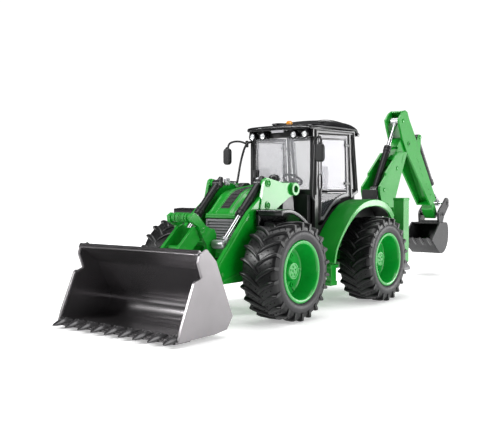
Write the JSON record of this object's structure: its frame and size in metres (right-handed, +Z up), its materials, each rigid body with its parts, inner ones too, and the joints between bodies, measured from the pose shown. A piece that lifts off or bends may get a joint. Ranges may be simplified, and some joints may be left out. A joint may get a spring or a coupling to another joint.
{
  "type": "toy backhoe loader",
  "caption": "Toy backhoe loader: front bucket on lifting arms, glazed cab, lugged wheels and a folding digging arm at the rear.",
  "frame": {"origin": "on the ground, under the middle of the machine's bounding box at rest", "axes": "+Z up, +Y towards the digging arm at the rear, +X towards the machine's left side"},
  "size_m": [0.186, 0.713, 0.2529],
  "materials": {
    "green_plastic": "glossy moulded plastic",
    "black_plastic": "satin black plastic",
    "grey_plastic": "grey plastic",
    "bucket_grey": "metallic grey plastic",
    "tyre_rubber": "soft black rubber",
    "plated_rod": "bright plated rod",
    "clear_pane": "clear plastic pane",
    "amber_lens": "clear orange plastic",
    "work_lamp": "white lamp with silver reflector"
  },
  "bodies": {
    "chassis": {"chassis_frame": "green_plastic", "engine_block": "grey_plastic", "radiator_grille": "grey_plastic", "front_axle_beam": "black_plastic", "cab_tub": "black_plastic", "cab_frame": "black_plastic", "cab_roof": "black_plastic", "work_lights_left": "work_lamp", "work_lights_right": "work_lamp", "beacon": "amber_lens", "windscreen": "clear_pane", "rear_window": "clear_pane", "driver_seat": "black_plastic", "exhaust_stack": "black_plastic", "front_fender_left": "black_plastic", "front_fender_right": "black_plastic", "rear_fender_left": "green_plastic", "rear_fender_right": "green_plastic", "loader_tower_left": "black_plastic", "loader_tower_right": "black_plastic", "backhoe_frame": "green_plastic"},
    "hood": {"hood": "green_plastic"},
    "door_left": {"door_left": "black_plastic", "door_glass_left": "clear_pane"},
    "door_right": {"door_right": "black_plastic", "door_glass_right": "clear_pane"},
    "mirror_left": {"mirror_left": "black_plastic"},
    "mirror_right": {"mirror_right": "black_plastic"},
    "steering_wheel": {"steering_wheel": "black_plastic"},
    "knuckle_left": {"steering_knuckle_left": "black_plastic"},
    "knuckle_right": {"steering_knuckle_right": "black_plastic"},
    "wheel_front_left": {"rim_front_left": "green_plastic", "tyre_front_left": "tyre_rubber"},
    "wheel_front_right": {"rim_front_right": "green_plastic", "tyre_front_right": "tyre_rubber"},
    "wheel_rear_left": {"rim_rear_left": "green_plastic", "tyre_rear_left": "tyre_rubber"},
    "wheel_rear_right": {"rim_rear_right": "green_plastic", "tyre_rear_right": "tyre_rubber"},
    "loader_arms": {"loader_arms": "green_plastic"},
    "tilt_lever": {"tilt_lever": "green_plastic"},
    "tilt_link": {"tilt_link": "green_plastic"},
    "front_bucket": {"front_bucket": "bucket_grey"},
    "tilt_barrel_left": {"tilt_ram_barrel_left": "black_plastic"},
    "tilt_rod_left": {"tilt_ram_rod_left": "plated_rod"},
    "tilt_barrel_right": {"tilt_ram_barrel_right": "black_plastic"},
    "tilt_rod_right": {"tilt_ram_rod_right": "plated_rod"},
    "stabiliser_left": {"stabiliser_left": "grey_plastic"},
    "stabiliser_right": {"stabiliser_right": "grey_plastic"},
    "carriage": {"carriage": "black_plastic"},
    "swing_post": {"swing_post": "black_plastic"},
    "boom": {"boom": "green_plastic"},
    "dipper": {"dipper": "green_plastic"},
    "dipper_extension": {"dipper_extension": "green_plastic"},
    "rear_bucket": {"rear_bucket": "bucket_grey"},
    "dipper_ram_barrel": {"dipper_ram_barrel": "black_plastic"},
    "dipper_ram_rod": {"dipper_ram_rod": "plated_rod"},
    "bucket_ram_barrel": {"bucket_ram_barrel": "black_plastic"},
    "bucket_ram_rod": {"bucket_ram_rod": "plated_rod"}
  },
  "joints": [
    {"name": "hood_hinge", "type": "hinge", "parent": "chassis", "child": "hood", "pos_m": [0, -0.0985, 0.1415], "axis": [-1, 0, 0], "range_deg": [0, 45]},
    {"name": "door_left_hinge", "type": "hinge", "parent": "chassis", "child": "door_left", "pos_m": [0.0474, -0.0099, 0.16], "axis": [0, 0, 1], "range_deg": [0, 28]},
    {"name": "door_right_hinge", "type": "hinge", "parent": "chassis", "child": "door_right", "pos_m": [-0.0474, -0.0099, 0.16], "axis": [0, 0, -1], "range_deg": [0, 28]},
    {"name": "mirror_left_fold", "type": "hinge", "parent": "chassis", "child": "mirror_left", "pos_m": [0.0495, -0.09, 0.188], "axis": [0, 0, 1], "range_deg": [-15, 60]},
    {"name": "mirror_right_fold", "type": "hinge", "parent": "chassis", "child": "mirror_right", "pos_m": [-0.0495, -0.09, 0.188], "axis": [0, 0, -1], "range_deg": [-15, 60]},
    {"name": "steering_wheel_turn", "type": "hinge", "parent": "chassis", "child": "steering_wheel", "pos_m": [0, -0.0645, 0.146], "axis": [0, 0.5299, 0.848], "range_deg": [-180, 180]},
    {"name": "steer_left", "type": "hinge", "parent": "chassis", "child": "knuckle_left", "pos_m": [0.0442, -0.1785, 0.051], "axis": [0, 0, 1], "range_deg": [-9, 9]},
    {"name": "steer_right", "type": "hinge", "parent": "chassis", "child": "knuckle_right", "pos_m": [-0.0442, -0.1785, 0.051], "axis": [0, 0, 1], "range_deg": [-9, 9]},
    {"name": "wheel_front_left_spin", "type": "hinge", "parent": "knuckle_left", "child": "wheel_front_left", "pos_m": [0.0715, -0.1785, 0.051], "axis": [1, 0, 0], "continuous": true},
    {"name": "wheel_front_right_spin", "type": "hinge", "parent": "knuckle_right", "child": "wheel_front_right", "pos_m": [-0.0715, -0.1785, 0.051], "axis": [1, 0, 0], "continuous": true},
    {"name": "wheel_rear_left_spin", "type": "hinge", "parent": "chassis", "child": "wheel_rear_left", "pos_m": [0.0715, 0.0045, 0.051], "axis": [1, 0, 0], "continuous": true},
    {"name": "wheel_rear_right_spin", "type": "hinge", "parent": "chassis", "child": "wheel_rear_right", "pos_m": [-0.0715, 0.0045, 0.051], "axis": [1, 0, 0], "continuous": true},
    {"name": "loader_lift", "type": "hinge", "parent": "chassis", "child": "loader_arms", "pos_m": [0, -0.1205, 0.1345], "axis": [-1, 0, 0], "range_deg": [0, 48]},
    {"name": "bucket_tilt", "type": "hinge", "parent": "loader_arms", "child": "front_bucket", "pos_m": [0, -0.2655, 0.024], "axis": [1, 0, 0], "range_deg": [-18, 34]},
    {"name": "tilt_lever_swing", "type": "hinge", "parent": "loader_arms", "child": "tilt_lever", "pos_m": [0, -0.2305, 0.061], "axis": [1, 0, 0], "range_deg": [-22, 55]},
    {"name": "tilt_link_swing", "type": "hinge", "parent": "tilt_lever", "child": "tilt_link", "pos_m": [0, -0.2445, 0.092], "axis": [1, 0, 0], "range_deg": [-58, 24]},
    {"name": "tilt_barrel_left_swing", "type": "hinge", "parent": "loader_arms", "child": "tilt_barrel_left", "pos_m": [0.029, -0.1677, 0.1403], "axis": [1, 0, 0], "range_deg": [-7, 3]},
    {"name": "tilt_rod_left_slide", "type": "slide", "parent": "tilt_barrel_left", "child": "tilt_rod_left", "axis": [0, -0.7071, -0.7071], "range_m": [-0.006, 0.014]},
    {"name": "tilt_barrel_right_swing", "type": "hinge", "parent": "loader_arms", "child": "tilt_barrel_right", "pos_m": [-0.029, -0.1677, 0.1403], "axis": [1, 0, 0], "range_deg": [-7, 3]},
    {"name": "tilt_rod_right_slide", "type": "slide", "parent": "tilt_barrel_right", "child": "tilt_rod_right", "axis": [0, -0.7071, -0.7071], "range_m": [-0.006, 0.014]},
    {"name": "stabiliser_left_slide", "type": "slide", "parent": "chassis", "child": "stabiliser_left", "axis": [0, 0, -1], "range_m": [0, 0.032]},
    {"name": "stabiliser_right_slide", "type": "slide", "parent": "chassis", "child": "stabiliser_right", "axis": [0, 0, -1], "range_m": [0, 0.032]},
    {"name": "carriage_shift", "type": "slide", "parent": "chassis", "child": "carriage", "axis": [1, 0, 0], "range_m": [-0.044, 0.044]},
    {"name": "boom_swing", "type": "hinge", "parent": "carriage", "child": "swing_post", "pos_m": [0, 0.0935, 0.085], "axis": [0, 0, 1], "range_deg": [-80, 80]},
    {"name": "boom_lift", "type": "hinge", "parent": "swing_post", "child": "boom", "pos_m": [0, 0.1475, 0.112], "axis": [1, 0, 0], "range_deg": [-50, 8]},
    {"name": "dipper_swing", "type": "hinge", "parent": "boom", "child": "dipper", "pos_m": [0, 0.2195, 0.204], "axis": [1, 0, 0], "range_deg": [-12, 45]},
    {"name": "extension_slide", "type": "slide", "parent": "dipper", "child": "dipper_extension", "axis": [0, 0.611, -0.7917], "range_m": [0, 0.03]},
    {"name": "rear_bucket_curl", "type": "hinge", "parent": "dipper_extension", "child": "rear_bucket", "pos_m": [0, 0.3245, 0.097], "axis": [1, 0, 0], "range_deg": [-5, 50]},
    {"name": "dipper_barrel_swing", "type": "hinge", "parent": "boom", "child": "dipper_ram_barrel", "pos_m": [0, 0.1385, 0.135], "axis": [1, 0, 0], "range_deg": [-2, 5]},
    {"name": "dipper_rod_slide", "type": "slide", "parent": "dipper_ram_barrel", "child": "dipper_ram_rod", "axis": [0, 0.5274, 0.8496], "range_m": [-0.028, 0.008]},
    {"name": "bucket_barrel_swing", "type": "hinge", "parent": "dipper_extension", "child": "bucket_ram_barrel", "pos_m": [0, 0.2695, 0.217], "axis": [1, 0, 0], "range_deg": [-5, 1]},
    {"name": "bucket_rod_slide", "type": "slide", "parent": "bucket_ram_barrel", "child": "bucket_ram_rod", "axis": [0, 0.6108, -0.7918], "range_m": [-0.025, 0.003]}
  ],
  "couplings": [
    {"joint": "steer_right", "follows": "steer_left", "ratio": 1},
    {"joint": "tilt_lever_swing", "follows": "bucket_tilt", "ratio": 1.2},
    {"joint": "tilt_link_swing", "follows": "bucket_tilt", "ratio": -1.26},
    {"joint": "tilt_barrel_left_swing", "follows": "bucket_tilt", "ratio": -0.12},
    {"joint": "tilt_rod_left_slide", "follows": "bucket_tilt", "m_per_rad": 0.017},
    {"joint": "tilt_barrel_right_swing", "follows": "bucket_tilt", "ratio": -0.12},
    {"joint": "tilt_rod_right_slide", "follows": "bucket_tilt", "m_per_rad": 0.017},
    {"joint": "dipper_barrel_swing", "follows": "dipper_swing", "ratio": 0.085},
    {"joint": "dipper_rod_slide", "follows": "dipper_swing", "m_per_rad": -0.035},
    {"joint": "bucket_barrel_swing", "follows": "rear_bucket_curl", "ratio": -0.08},
    {"joint": "bucket_rod_slide", "follows": "rear_bucket_curl", "m_per_rad": -0.027}
  ]
}
